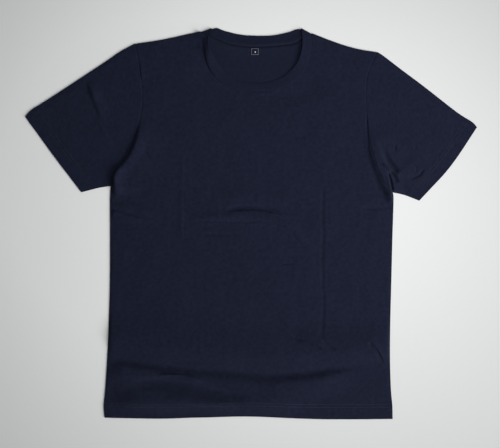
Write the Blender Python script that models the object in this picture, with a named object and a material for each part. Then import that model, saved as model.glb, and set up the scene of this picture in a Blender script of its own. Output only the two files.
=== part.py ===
"""Crew neck t-shirt of cotton jersey, laid flat on its back with the sleeves spread.

X runs across the chest, Y from the hem to the neck, and Z up from the table.
The origin is on the table, under the middle of the garment. Lengths in the
tables are millimetres. Every piece is a closed wall: the back panel and the
lower sides of the sleeves lie on the table, and the front panel and the upper
sides of the sleeves lie on them, with air and folds between.
"""

import bmesh
import bpy
import numpy as np
from mathutils import Vector
from mathutils.geometry import delaunay_2d_cdt

MM = 0.001

WALL = 1.2
GAP = 0.3
SEAM_SHIFT = 0.42
HEM_DEPTH = 27.0
CUFF_DEPTH = 25.0
TURN_UP = 0.6
TURN_UP_EDGE = 2.5
BAND_HALF = 1.1
LABEL_SIZE = (14.7, 13.0)
LABEL_THICK = 0.7

AIR = 1.5
AIR_REACH = 22.0
ROLL = 2.2
ROLL_REACH = 7.0
HEM_AIR_SHARE = 0.35
HEM_AIR_REACH = 90.0

EDGE_STEP = 14.0
PANEL_STEP = (24.0, 19.0)
BACK_STEP = (48.0, 48.0)
ROLL_RINGS = (5.0, 14.0)

# Side seams. Columns: height, left seam, right seam.
SIDE_SECTIONS = (
    (-357.5, -269.5, 260.8),
    (-335.0, -271.0, 260.2),
    (-300.0, -268.0, 257.4),
    (-245.0, -264.6, 256.0),
    (-178.0, -261.8, 256.6),
    (-112.0, -259.8, 258.3),
    (-24.0, -259.4, 260.5),
    (42.0, -259.6, 262.5),
)

# Edges of the body and the sleeves. Columns: across, height.
HEM = (
    (-269.5, -357.5),
    (-167.0, -359.2),
    (-93.0, -357.0),
    (0.0, -355.2),
    (91.0, -359.0),
    (165.0, -360.4),
    (260.8, -359.8),
)
LEFT_ARMHOLE = (
    (-258.6, 69.6),
    (-258.0, 85.0),
    (-248.0, 105.0),
    (-231.0, 122.0),
    (-220.5, 142.0),
    (-210.5, 172.0),
    (-202.5, 202.0),
    (-199.5, 236.0),
    (-203.5, 276.0),
    (-213.0, 331.0),
)
RIGHT_ARMHOLE = (
    (261.4, 57.6),
    (243.5, 76.0),
    (228.5, 111.0),
    (217.5, 150.0),
    (213.5, 190.0),
    (211.5, 240.0),
    (215.0, 275.0),
    (232.0, 315.5),
)
LEFT_SHOULDER = (
    (-90.8, 353.0),
    (-108.0, 350.6),
    (-137.0, 344.2),
    (-167.0, 338.0),
    (-196.0, 333.6),
    (-213.0, 331.0),
)
RIGHT_SHOULDER = (
    (109.8, 350.2),
    (122.0, 346.6),
    (143.0, 338.4),
    (172.0, 328.2),
    (201.0, 320.6),
    (232.0, 315.5),
)
LEFT_SLEEVE_TOP = (
    (-213.0, 331.0),
    (-240.0, 316.6),
    (-270.0, 296.0),
    (-314.0, 267.0),
    (-373.0, 228.4),
    (-404.0, 208.6),
    (-415.4, 196.4),
)
RIGHT_SLEEVE_TOP = (
    (232.0, 315.5),
    (245.0, 307.0),
    (275.0, 284.0),
    (319.0, 251.0),
    (378.0, 205.0),
    (407.0, 186.0),
    (415.6, 176.5),
)
LEFT_UNDERARM = (
    (-258.6, 69.6),
    (-270.0, 68.2),
    (-285.0, 65.4),
    (-313.0, 58.2),
)
RIGHT_UNDERARM = (
    (261.4, 57.6),
    (275.0, 55.0),
    (289.0, 51.0),
    (310.5, 42.8),
)
LEFT_CUFF = (
    (-415.4, 196.4),
    (-365.0, 127.0),
    (-313.0, 58.2),
)
RIGHT_CUFF = (
    (415.6, 176.5),
    (367.0, 105.0),
    (310.5, 42.8),
)

# Neckband, with its free edge and the edge that is sewn on. Columns: across, height.
FRONT_OPENING = (
    (92.6, 358.1),
    (94.4, 337.0),
    (92.4, 317.0),
    (85.0, 296.0),
    (67.0, 277.0),
    (45.0, 265.0),
    (20.0, 259.8),
    (-10.0, 261.0),
    (-33.0, 267.4),
    (-54.0, 284.0),
    (-69.0, 307.0),
    (-77.0, 327.0),
    (-77.0, 343.0),
    (-72.0, 358.1),
)
FRONT_SEAM = (
    (108.9, 349.6),
    (111.4, 335.0),
    (109.6, 312.0),
    (101.0, 287.0),
    (81.0, 263.6),
    (54.0, 249.4),
    (24.0, 244.6),
    (-14.0, 245.8),
    (-44.0, 253.8),
    (-68.0, 272.0),
    (-81.5, 294.0),
    (-87.4, 320.0),
    (-89.4, 340.0),
    (-90.0, 352.4),
)
BACK_OPENING = (
    (-72.0, 358.1),
    (-62.0, 359.8),
    (-48.0, 354.6),
    (-20.0, 348.0),
    (10.0, 345.8),
    (40.0, 346.6),
    (68.0, 352.2),
    (83.0, 357.4),
    (92.6, 358.1),
)
BACK_SEAM = (
    (-90.0, 352.4),
    (-77.0, 346.4),
    (-62.0, 339.2),
    (-40.0, 331.4),
    (-10.0, 326.6),
    (20.0, 326.2),
    (50.0, 328.2),
    (78.0, 332.0),
    (94.0, 339.4),
    (108.9, 349.6),
)

# Middle of the front half's rib. Columns: share of the way round, height at the
# opening, height at the seam.
BAND_HEIGHTS = (
    (0.00, 3.7, 3.7),
    (0.10, 5.0, 3.7),
    (0.22, 4.2, 3.3),
    (0.36, 3.0, 2.9),
    (0.50, 2.8, 2.8),
    (0.66, 3.0, 2.9),
    (0.80, 4.8, 3.3),
    (0.90, 6.8, 3.7),
    (1.00, 3.7, 3.7),
)
BAND_BACK_HEIGHT = 1.1
BAND_TURN_HEIGHT = 3.7
FRONT_STATIONS = 30
BACK_STATIONS = 15
TURN_STATIONS = 6

LABEL_CENTRE = (7.2, 316.2)

# Largest folds of the upper layer: a ridge has a height over zero, a trough one
# under it. Columns: height, half width to the left of the path and to the right,
# length over which the fold fades at the path's start and at its end, path as
# points across and up the body.
FOLDS = (
    (5.6, 60, 36, 60, 60, ((-300, -206), (-118, -231), (30, -241), (120, -236), (300, -226))),
    (-1.6, 9, 7, 30, 50, ((-262, -246), (-118, -267), (30, -278), (105, -274), (208, -264))),
    (3.6, 12, 50, 40, 60, ((-268, -257), (-118, -280), (30, -292), (105, -287), (190, -276))),
    (8.0, 44, 27, 70, 110, ((-268, -322), (-170, -328), (-10, -331), (140, -334))),
    (-3.2, 5, 25, 16, 60, ((-178, -277), (-118, -284), (-88, -296), (-24, -318))),
    (-2.4, 50, 50, 50, 50, ((-116, 296), (-50, 252), (15, 238), (80, 244), (140, 290))),
    (-2.8, 9, 7, 28, 28, ((-46, 27), (-10, 29), (20, 28), (62, 19))),
    (1.4, 20, 20, 40, 40, ((-74, 46), (12, 50), (90, 36))),
    (2.4, 16, 16, 45, 45, ((-122, 6), (-30, 12), (60, 0), (108, -44))),
    (2.4, 13, 13, 25, 25, ((-256, 38), (-222, 28), (-172, 15))),
    (3.6, 70, 9, 40, 14, ((-194, 200), (-207, 156), (-221, 124), (-243, 96), (-250, 54))),
    (2.6, 12, 8, 12, 8, ((-234, 108), (-245, 95), (-250, 84), (-249, 70))),
    (6.2, 34, 13, 90, 12, ((215, 196), (223, 138), (241, 90), (254, 58), (264, 34))),
    (3.0, 32, 32, 34, 24, ((226, 180), (240, 156), (256, 130), (272, 104), (292, 80))),
    (3.8, 10, 10, 14, 14, ((238, 110), (258, 98), (276, 87))),
    (2.2, 26, 20, 20, 24, ((280, 118), (296, 98), (318, 84), (336, 80))),
    (3.4, 13, 13, 25, 25, ((-306, 250), (-286, 214), (-268, 176))),
)
FOLD_STEP = 13.0

# Share of the way across a sleeve at which its rings have points.
SLEEVE_ACROSS = (
    0.0, 0.018, 0.05, 0.1, 0.17, 0.25, 0.33, 0.41, 0.49, 0.56, 0.63, 0.7, 0.77, 0.84, 0.9, 0.95,
    0.982, 1.0,
)
SLEEVE_RINGS = 14
NOSE_ANGLES = (45.0, 90.0, 135.0)

# Finishes. Columns: colour, roughness.
FINISHES = {
    "jersey": ((0.0123, 0.0137, 0.0243), 0.92),
    "rib": ((0.0115, 0.0130, 0.0232), 0.92),
    "woven": ((0.0060, 0.0070, 0.0140), 0.70),
}


def length_along(points):
    """Distance along a row of points from its first."""
    steps = np.linalg.norm(np.diff(points, axis=0), axis=1)
    return np.concatenate(((0.0,), np.cumsum(steps)))


def smooth(knots):
    """Close points on a smooth curve through the knots."""
    knots = np.array(knots, float)
    ends = np.vstack((2 * knots[0] - knots[1], knots, 2 * knots[-1] - knots[-2]))
    share = np.linspace(0.0, 1.0, 24, endpoint=False)[:, None]
    runs = []
    for before, start, end, after in zip(ends, ends[1:], ends[2:], ends[3:]):
        slope = (end - before) * share
        bend = (2 * before - 5 * start + 4 * end - after) * share**2
        twist = (3 * start - before - 3 * end + after) * share**3
        runs.append(start + 0.5 * (slope + bend + twist))
    return np.vstack((*runs, knots[-1:]))


def at_shares(curve, shares):
    """Points at the given shares of a curve's length."""
    along = length_along(curve)
    wanted = np.asarray(shares) * along[-1]
    return np.column_stack([np.interp(wanted, along, column) for column in curve.T])


def spaced(knots, step):
    """Points about one step apart on the smooth curve through the knots."""
    curve = smooth(knots)
    count = max(1, round(length_along(curve)[-1] / step))
    return at_shares(curve, np.linspace(0.0, 1.0, count + 1))


def nearest(points, path):
    """From each point to a path: distance, length along it, and whether to its left."""
    along = length_along(path)
    best = np.full(len(points), np.inf)
    place = np.zeros(len(points))
    left = np.zeros(len(points), bool)
    for start, end, before, reach in zip(path, path[1:], along, np.diff(along)):
        run = end - start
        away = points - start
        share = np.clip(away @ run / max(reach**2, 1e-9), 0.0, 1.0)
        distance = np.linalg.norm(away - share[:, None] * run, axis=1)
        closer = distance < best
        best[closer] = distance[closer]
        place[closer] = before + share[closer] * reach
        left[closer] = (run[0] * away[:, 1] > run[1] * away[:, 0])[closer]
    return best, place, left


def ease(value):
    """Smooth step from 0 to 1."""
    value = np.clip(value, 0.0, 1.0)
    return value * value * (3 - 2 * value)


def rolled_edges():
    """The edges where the upper layer turns down to the lower one."""
    left_side = [(left, height) for height, left, _ in SIDE_SECTIONS]
    right_side = [(right, height) for height, _, right in SIDE_SECTIONS]
    return [
        np.vstack((smooth(left_side), smooth(LEFT_UNDERARM))),
        np.vstack((smooth(right_side), smooth(RIGHT_UNDERARM))),
        np.vstack((smooth(LEFT_SHOULDER), smooth(LEFT_SLEEVE_TOP))),
        np.vstack((smooth(RIGHT_SHOULDER), smooth(RIGHT_SLEEVE_TOP))),
    ]


ROLLED_EDGES = rolled_edges()
HEM_CURVE = smooth(HEM)


def rise(points):
    """How far air and folds lift the upper layer off the lower one."""
    inside = np.min([nearest(points, edge)[0] for edge in ROLLED_EDGES], axis=0)
    above_hem = nearest(points, HEM_CURVE)[0]
    share = HEM_AIR_SHARE + (1 - HEM_AIR_SHARE) * ease(above_hem / HEM_AIR_REACH)
    lift = AIR * share * (1 - np.exp(-inside / AIR_REACH))
    lift += ROLL * (inside / ROLL_REACH) * np.exp(1 - inside / ROLL_REACH)
    for height, to_left, to_right, fade_in, fade_out, path in FOLDS:
        curve = smooth(path)
        distance, place, left = nearest(points, curve)
        taper = ease(place / fade_in) * ease((length_along(curve)[-1] - place) / fade_out)
        lift += height * ease(1 - distance / np.where(left, to_left, to_right)) * taper
    return np.maximum(lift, 0.0) * ease(inside / ROLL_RINGS[0])


def turned_up(distance, depth):
    """Extra thickness of a hem, from the distance to its edge."""
    return TURN_UP * ease((depth + TURN_UP_EDGE - distance) / TURN_UP_EDGE)


def new_object(name, vertices, faces, finish):
    """Object of one closed mesh, given in millimetres, with its own material."""
    mesh = bpy.data.meshes.new(name)
    mesh.from_pydata([Vector(vertex) * MM for vertex in vertices], [], faces)
    body = bmesh.new()
    body.from_mesh(mesh)
    bmesh.ops.recalc_face_normals(body, faces=body.faces)
    body.to_mesh(mesh)
    body.free()
    mesh.shade_smooth()
    mesh.set_sharp_from_angle(angle=0.9)
    colour, roughness = FINISHES[finish]
    material = bpy.data.materials.new(name)
    material.use_nodes = True
    shader = material.node_tree.nodes["Principled BSDF"]
    shader.inputs["Base Color"].default_value = (*colour, 1.0)
    shader.inputs["Roughness"].default_value = roughness
    shader.inputs["Metallic"].default_value = 0.0
    mesh.materials.append(material)
    piece = bpy.data.objects.new(name, mesh)
    bpy.context.scene.collection.objects.link(piece)
    return piece


def armhole_stations(armhole):
    """Places of the sleeve's first points, from the underarm to the shoulder."""
    return at_shares(smooth(armhole), 1 - np.array(SLEEVE_ACROSS[::-1]))


def panel_outline(neck):
    """A body panel's outline, against the clock from the hem's left end."""
    left_side = [(left, height) for height, left, _ in SIDE_SECTIONS]
    right_side = [(right, height) for height, _, right in SIDE_SECTIONS]
    edges = (
        spaced(HEM, EDGE_STEP),
        spaced(right_side, EDGE_STEP),
        armhole_stations(RIGHT_ARMHOLE),
        spaced(RIGHT_SHOULDER, EDGE_STEP)[::-1],
        neck,
        spaced(LEFT_SHOULDER, EDGE_STEP),
        armhole_stations(LEFT_ARMHOLE)[::-1],
        spaced(left_side, EDGE_STEP)[::-1],
    )
    points = np.vstack(edges)
    apart = np.linalg.norm(points - np.roll(points, 1, axis=0), axis=1)
    return points[apart > GAP]


def stations(edge, count):
    """Places of the neckband's sections along one of its edges."""
    return at_shares(smooth(edge), np.linspace(0.0, 1.0, count))


def neck_edge(seam, side):
    """A panel's neckline, one gap outside the neckband's sewn edge."""
    along = np.gradient(seam, axis=0)
    along /= np.linalg.norm(along, axis=1)[:, None]
    outward = np.column_stack((-along[:, 1], along[:, 0])) * side
    return seam + GAP * outward


def fold_rows(to_left, to_right, path):
    """Points along a fold's crest, slopes and feet."""
    crest = spaced(path, FOLD_STEP)
    along = np.gradient(crest, axis=0)
    along /= np.linalg.norm(along, axis=1)[:, None]
    sideways = np.column_stack((-along[:, 1], along[:, 0]))
    shifts = (0.0, -to_right / 2, to_left / 2, -to_right, to_left)
    return np.vstack([crest + shift * sideways for shift in shifts])


def lattice(outline, step, rings, folds):
    """Points inside an outline: rings along it, rows at the hem, folds, then a lattice."""
    along = np.roll(outline, -1, axis=0) - np.roll(outline, 1, axis=0)
    along /= np.linalg.norm(along, axis=1)[:, None]
    inward = np.column_stack((-along[:, 1], along[:, 0]))
    edge = np.vstack((outline, outline[:1]))
    low, high = outline.min(axis=0), outline.max(axis=0)
    columns = np.arange(low[0] + step[0] / 2, high[0], step[0])
    hem_columns = np.arange(low[0], high[0], step[0] / 2)
    hem = np.interp(hem_columns, HEM_CURVE[:, 0], HEM_CURVE[:, 1])
    clear = max((0.0, *rings)) + step[1] / 3
    layers = [(outline + depth * inward, 0.7 * depth, TURN_UP_EDGE) for depth in rings]
    for row in (HEM_DEPTH, HEM_DEPTH + TURN_UP_EDGE):
        layers.append((np.column_stack((hem_columns, hem + row)), clear, TURN_UP_EDGE / 2))
    for _, to_left, to_right, _, _, path in folds:
        layers.append((fold_rows(to_left, to_right, path), clear, FOLD_STEP / 2))
    rows = np.arange(low[1] + HEM_DEPTH + step[1], high[1], step[1])
    for count, row in enumerate(rows):
        shifted = columns + step[0] / 2 * (count % 2)
        layers.append((np.column_stack((shifted, np.full_like(shifted, row))), clear, step[1] / 2))
    kept = outline
    for points, from_edge, apart in layers:
        points = points[within(points, outline)]
        points = points[nearest(points, edge)[0] > from_edge]
        kept = np.vstack((kept, thinned(points, kept, apart)))
    return kept


def thinned(points, others, apart):
    """The points that are at least that far from the others and from each other."""
    kept = []
    for point in points[spread(points, others) > apart]:
        if spread(point[None], np.array(kept)).item() > apart:
            kept.append(point)
    return np.array(kept).reshape(-1, 2)


def spread(points, others):
    """Distance from each point to the nearest of the others."""
    if not len(others) or not len(points):
        return np.full(len(points), np.inf)
    return np.min(np.linalg.norm(points[:, None] - others[None], axis=2), axis=1)


def within(points, outline):
    """Whether each point is inside an outline, by crossings of its edges."""
    inside = np.zeros(len(points), bool)
    for start, end in zip(outline, np.roll(outline, -1, axis=0)):
        spans = (start[1] > points[:, 1]) != (end[1] > points[:, 1])
        with np.errstate(divide="ignore", invalid="ignore"):
            cross = start[0] + (points[:, 1] - start[1]) * (end[0] - start[0]) / (end[1] - start[1])
        inside ^= spans & (points[:, 0] < cross)
    return inside


def panel(name, outline, flat, underside):
    """A body panel: a wall from its outline, the points inside it and its underside."""
    loop = list(range(len(outline)))
    result = delaunay_2d_cdt([Vector(point) for point in flat], [], [loop], 1, 1e-4)
    flat = np.array(result[0])
    triangles = result[2]
    low = underside(flat)
    count = len(flat)
    high = low + hem_thickness(flat)
    vertices = [*np.column_stack((flat, low)), *np.column_stack((flat, high))]
    faces = [tuple(count + corner for corner in triangle) for triangle in triangles]
    faces += [tuple(reversed(triangle)) for triangle in triangles]
    sides = {(a, b) for face in triangles for a, b in zip(face, (*face[1:], face[0]))}
    faces += [(a, b, b + count, a + count) for a, b in sides if (b, a) not in sides]
    return new_object(name, vertices, faces, "jersey")


def hem_thickness(points):
    """Wall of a body panel, doubled in part where the hem is turned up."""
    return WALL + turned_up(nearest(points, HEM_CURVE)[0], HEM_DEPTH)


def back_panel():
    """Back panel, flat on the table."""
    outline = panel_outline(neck_edge(stations(BACK_SEAM, BACK_STATIONS), -1.0)[::-1])
    flat = lattice(outline, BACK_STEP, (), ())
    return panel("back_panel", outline, flat, lambda points: np.zeros(len(points)))


def front_underside(points):
    """Underside of the front panel, on the back panel and the air over it."""
    return hem_thickness(points) + GAP + rise(points)


def front_panel():
    """Front panel, over the back panel, with the lower neckline."""
    outline = panel_outline(neck_edge(stations(FRONT_SEAM, FRONT_STATIONS), 1.0))
    flat = lattice(outline, PANEL_STEP, ROLL_RINGS, FOLDS)
    return panel("front_panel", outline, flat, front_underside)


def sleeve_rings(top, underarm, armhole, cuff):
    """Places across and along a sleeve, ring by ring, between its four edges."""
    across = np.array(SLEEVE_ACROSS)
    length = length_along(smooth(top))[-1]
    turn = (length - CUFF_DEPTH) / length
    even = np.linspace(SEAM_SHIFT / length, turn, SLEEVE_RINGS - 2)
    shares = np.concatenate((even, (turn + TURN_UP_EDGE / length, 1.0)))
    start = armhole_stations(armhole)[::-1]
    end = at_shares(smooth(cuff), across)
    upper = at_shares(smooth(top), shares)
    lower = at_shares(smooth(underarm), shares)
    rings = []
    for share, high, low in zip(shares, upper, lower):
        along = (1 - share) * start + share * end
        sideways = (1 - across[:, None]) * high + across[:, None] * low
        corners = (1 - across[:, None]) * ((1 - share) * start[0] + share * end[0])
        corners = corners + across[:, None] * ((1 - share) * start[-1] + share * end[-1])
        rings.append(along + sideways - corners)
    return rings, [(1 - share) * length for share in shares]


def nose(edge, neighbour, low, high):
    """Round turn of a wall at a sleeve's fold, from the height low to high."""
    outward = edge - neighbour
    outward /= np.linalg.norm(outward)
    radius = (high - low) / 2
    points = []
    for angle in np.radians(NOSE_ANGLES):
        place = edge + outward * radius * np.sin(angle)
        points.append((*place, low + radius * (1 - np.cos(angle))))
    return points


def tube_section(flat, low, high):
    """One ring of a flattened tube: its upper side, far fold, lower side and near fold."""
    upper = [(*place, height) for place, height in zip(flat, high)]
    lower = [(*place, height) for place, height in zip(flat, low)]
    far = nose(flat[-1], flat[-2], low[-1], high[-1])
    near = nose(flat[0], flat[1], low[0], high[0])
    return [*upper, *far[::-1], *lower[::-1], *near]


def bridge(first, second, size):
    """Faces between two rings, each given by the number of its first point."""
    pairs = [(spot, (spot + 1) % size) for spot in range(size)]
    return [(first + a, first + b, second + b, second + a) for a, b in pairs]


def sleeve(name, top, underarm, armhole, cuff):
    """A sleeve: a flattened tube, open at the armhole and at the cuff."""
    rings, to_cuff = sleeve_rings(top, underarm, armhole, cuff)
    outer, inner = [], []
    for flat, distance in zip(rings, to_cuff):
        wall = WALL + turned_up(distance, CUFF_DEPTH)
        under = wall + GAP + rise(flat)
        outer.append(tube_section(flat, np.zeros(len(flat)), under + wall))
        inner.append(tube_section(flat, np.full(len(flat), wall), under))
    vertices = [point for walls in (outer, inner) for ring in walls for point in ring]
    size = len(outer[0])
    last = (len(outer) - 1) * size
    inside = last + size
    faces = bridge(0, inside, size) + bridge(last, inside + last, size)
    for start in range(0, last, size):
        faces += bridge(start, start + size, size)
        faces += bridge(inside + start, inside + start + size, size)
    return new_object(name, vertices, faces, "jersey")


def band_section(opening, seam, angle):
    """Corners of the folded rib across the band, turned about its own width."""
    across = seam - opening
    width = np.linalg.norm(across)
    across /= width
    up = np.array((0.0, 0.0, 1.0)) - across[2] * across
    up /= np.linalg.norm(up)
    out = np.cross(across, up)
    out *= 1.0 if out[1] > 0 else -1.0
    normal = np.cos(angle) * up + np.sin(angle) * out
    profile = (
        (0.0, 0.0),
        (0.35, 0.8),
        (1.0, 1.0),
        (width / BAND_HALF, 1.0),
        (width / BAND_HALF, -1.0),
        (1.0, -1.0),
        (0.35, -0.8),
    )
    return [opening + BAND_HALF * (a * across + b * normal) for a, b in profile]


def turn(opening, seam, angles):
    """Sections where the band folds over at one end of the shoulders."""
    middle = (BAND_TURN_HEIGHT + BAND_BACK_HEIGHT) / 2
    radius = (BAND_TURN_HEIGHT - BAND_BACK_HEIGHT) / 2
    across = seam - opening
    out = np.array((-across[1], across[0]))
    out *= (1.0 if out[1] > 0 else -1.0) / np.linalg.norm(out)
    sections = []
    for angle in angles:
        shift = radius * np.sin(angle) * out
        height = middle + radius * np.cos(angle)
        sections.append(band_section(np.array((*(opening + shift), height)),
                                     np.array((*(seam + shift), height)), angle))
    return sections


def neckband():
    """Folded rib band, over the front and, turned at the shoulders, along the back."""
    shares = np.linspace(0.0, 1.0, FRONT_STATIONS)
    table = np.array(BAND_HEIGHTS)
    front_in = stations(FRONT_OPENING, FRONT_STATIONS)
    front_out = stations(FRONT_SEAM, FRONT_STATIONS)
    high = np.interp(shares, table[:, 0], table[:, 1])
    low = np.interp(shares, table[:, 0], table[:, 2])
    sections = []
    for inner, outer, inner_height, outer_height in zip(front_in, front_out, high, low):
        sections.append(band_section(np.array((*inner, inner_height)),
                                     np.array((*outer, outer_height)), 0.0))
    angles = np.linspace(0.0, np.pi, TURN_STATIONS + 2)[1:-1]
    sections += turn(front_in[-1], front_out[-1], angles)
    back_in = stations(BACK_OPENING, BACK_STATIONS)
    back_out = stations(BACK_SEAM, BACK_STATIONS)
    for inner, outer in zip(back_in, back_out):
        sections.append(band_section(np.array((*inner, BAND_BACK_HEIGHT)),
                                     np.array((*outer, BAND_BACK_HEIGHT)), np.pi))
    sections += turn(front_in[0], front_out[0], angles[::-1])
    size = len(sections[0])
    faces = []
    for station in range(len(sections)):
        following = (station + 1) % len(sections)
        faces += bridge(station * size, following * size, size)
    corners = [corner for section in sections for corner in section]
    return new_object("neckband", corners, faces, "rib")


def neck_label():
    """Small woven size label on the inside of the back panel, under the band."""
    half = np.array(LABEL_SIZE) / 2
    low = WALL + GAP
    corners = ((-1, -1), (1, -1), (1, 1), (-1, 1))
    vertices = [(*(LABEL_CENTRE + half * corner), height)
                for height in (low, low + LABEL_THICK) for corner in corners]
    faces = [(0, 3, 2, 1), (4, 5, 6, 7), *bridge(0, 4, 4)]
    return new_object("neck_label", vertices, faces, "woven")


for leftover in list(bpy.data.objects):
    bpy.data.objects.remove(leftover)

back_panel()
front_panel()
sleeve("left_sleeve", LEFT_SLEEVE_TOP, LEFT_UNDERARM, LEFT_ARMHOLE, LEFT_CUFF)
sleeve("right_sleeve", RIGHT_SLEEVE_TOP, RIGHT_UNDERARM, RIGHT_ARMHOLE, RIGHT_CUFF)
neckband()
neck_label()
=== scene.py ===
"""Looks of a crew neck t-shirt in dark navy cotton jersey, laid flat on its back.

X runs across the chest, Y from the hem to the neck and Z up from the table, as in
the frame. Sizes are millimetres, apart from the flat cuts and the last section,
which are in metres, as the meshes are.
"""

import math

import bmesh
import bpy
import numpy as np
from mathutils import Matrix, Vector, kdtree, noise
from mathutils.geometry import delaunay_2d_cdt


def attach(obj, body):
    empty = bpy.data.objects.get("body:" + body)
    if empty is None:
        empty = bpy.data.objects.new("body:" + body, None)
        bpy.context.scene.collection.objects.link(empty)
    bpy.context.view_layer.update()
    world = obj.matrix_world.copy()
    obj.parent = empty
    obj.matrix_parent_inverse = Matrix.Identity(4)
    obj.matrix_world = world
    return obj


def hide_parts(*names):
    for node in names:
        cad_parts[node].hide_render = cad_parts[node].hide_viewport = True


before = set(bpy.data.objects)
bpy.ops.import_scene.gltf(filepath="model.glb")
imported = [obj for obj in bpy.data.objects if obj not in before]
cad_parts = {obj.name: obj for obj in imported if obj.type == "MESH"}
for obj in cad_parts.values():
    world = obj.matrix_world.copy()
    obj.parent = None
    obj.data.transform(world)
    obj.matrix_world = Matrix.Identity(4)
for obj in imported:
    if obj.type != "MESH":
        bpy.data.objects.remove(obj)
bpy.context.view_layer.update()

MM = 0.001


# ---------------------------------------------------------------------------
# Back panel: one piece of single jersey, cut with the high back neckline. It lies
# flat on the table under everything else, and its hem is turned up and stitched.
# Side and shoulder seams join it to the front along the rolled edges.

# A layer of cloth takes up WALL in the pile. It is CLOTH thick, and thins to RIM at the
# rolled side and shoulder seams and to LEAST_RIM_SHARE of itself at a hem's edge.
WALL = 0.7
CLOTH = 0.65
GAP = 0.15
LAYER_CLEAR = 0.05
HEM_DEPTH = 27.0
TURN_UP = 0.12
TURN_UP_EDGE = 3.0
SEWN_RIDGE = 0.18
SEWN_RIDGE_WIDTH = 2.0
RIM = 0.3
LEAST_RIM_SHARE = 0.1
SEAM_DIP = 0.5
SEAM_REACH = 1.3
UNDER_BAND = -0.8

# Side seams. Columns: height, left seam, right seam.
SIDE_SECTIONS = (
    (-357.5, -269.5, 260.8),
    (-335.0, -271.0, 260.2),
    (-300.0, -268.0, 257.4),
    (-245.0, -264.6, 256.0),
    (-178.0, -261.8, 256.6),
    (-112.0, -259.8, 258.3),
    (-24.0, -259.4, 260.5),
    (42.0, -259.6, 262.5),
)

# Edges of the body. Columns: across, height.
HEM = (
    (-269.5, -357.5),
    (-167.0, -359.2),
    (-93.0, -357.0),
    (0.0, -355.2),
    (91.0, -359.0),
    (165.0, -360.4),
    (260.8, -359.8),
)
LEFT_ARMHOLE = (
    (-258.6, 69.6),
    (-258.0, 85.0),
    (-248.0, 105.0),
    (-231.0, 122.0),
    (-220.5, 142.0),
    (-210.5, 172.0),
    (-202.5, 202.0),
    (-199.5, 236.0),
    (-203.5, 276.0),
    (-213.0, 331.0),
)
RIGHT_ARMHOLE = (
    (261.4, 57.6),
    (243.5, 76.0),
    (228.5, 111.0),
    (217.5, 150.0),
    (213.5, 190.0),
    (211.5, 240.0),
    (215.0, 275.0),
    (232.0, 315.5),
)
LEFT_SHOULDER = (
    (-90.8, 353.0),
    (-108.0, 350.6),
    (-137.0, 344.2),
    (-167.0, 338.0),
    (-196.0, 333.6),
    (-213.0, 331.0),
)
RIGHT_SHOULDER = (
    (109.8, 350.2),
    (122.0, 346.6),
    (143.0, 338.4),
    (172.0, 328.2),
    (201.0, 320.6),
    (232.0, 315.5),
)
BACK_SEAM = (
    (-90.0, 352.4),
    (-77.0, 346.4),
    (-62.0, 339.2),
    (-40.0, 331.4),
    (-10.0, 326.6),
    (20.0, 326.2),
    (50.0, 328.2),
    (78.0, 332.0),
    (94.0, 339.4),
    (108.9, 349.6),
)

# A curve has KNOT_STEPS points from knot to knot, and a track has one each TRACK_STEP.
KNOT_STEPS = 24
TRACK_STEP = 1.0


def smooth(knots):
    """Close points on a smooth curve through the knots."""
    knots = np.array(knots, float)
    ends = np.vstack((2 * knots[0] - knots[1], knots, 2 * knots[-1] - knots[-2]))
    share = np.linspace(0.0, 1.0, KNOT_STEPS, endpoint=False)[:, None]
    runs = []
    for before, start, end, after in zip(ends, ends[1:], ends[2:], ends[3:]):
        slope = (end - before) * share
        bend = (2 * before - 5 * start + 4 * end - after) * share**2
        twist = (3 * start - before - 3 * end + after) * share**3
        runs.append(start + 0.5 * (slope + bend + twist))
    return np.vstack((*runs, knots[-1:]))


def length_along(points):
    """Distance along a row of points from its first."""
    steps = np.linalg.norm(np.diff(points, axis=0), axis=1)
    return np.concatenate(((0.0,), np.cumsum(steps)))


def at_shares(curve, shares):
    """Points at the given shares of a curve's length."""
    along = length_along(curve)
    wanted = np.asarray(shares) * along[-1]
    return np.column_stack([np.interp(wanted, along, column) for column in curve.T])


def evenly(curve, step):
    """Points about one step apart on a curve."""
    count = max(1, round(length_along(curve)[-1] / step))
    return at_shares(curve, np.linspace(0.0, 1.0, count + 1))


def track(curve):
    """A path's close points with a search tree, to measure distances to it."""
    points = evenly(curve, TRACK_STEP)
    tree = kdtree.KDTree(len(points))
    for number, point in enumerate(points):
        tree.insert((*point, 0.0), number)
    tree.balance()
    return points, tree


def nearest(places, path):
    """From each place to a track: distance, share of its length, and whether to its left."""
    points, tree = path
    found = np.array([tree.find((x, y, 0.0))[1] for x, y in places], int)
    best = np.full(len(places), np.inf)
    share = np.zeros(len(places))
    left = np.zeros(len(places), bool)
    for before in (1, 0):
        first = np.clip(found - before, 0, len(points) - 2)
        start = points[first]
        run = points[first + 1] - start
        part = np.sum((places - start) * run, axis=1) / np.sum(run**2, axis=1)
        part = np.clip(part, 0.0, 1.0)
        apart = np.linalg.norm(places - start - part[:, None] * run, axis=1)
        closer = apart < best
        best[closer] = apart[closer]
        share[closer] = ((first + part) / (len(points) - 1))[closer]
        turn = run[:, 0] * (places - start)[:, 1] - run[:, 1] * (places - start)[:, 0]
        left[closer] = turn[closer] > 0
    return best, share, left


def ease(value):
    """Smooth step from 0 to 1."""
    value = np.clip(value, 0.0, 1.0)
    return value * value * (3 - 2 * value)


def rounding(value):
    """Quarter circle from 0 to 1, for rolled edges."""
    return np.sqrt(1 - (1 - np.clip(value, 0.0, 1.0)) ** 2)


def sideways(points):
    """Unit vectors to the left of a row of points."""
    along = np.gradient(points, axis=0)
    along /= np.linalg.norm(along, axis=1)[:, None]
    return np.column_stack((-along[:, 1], along[:, 0]))


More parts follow.
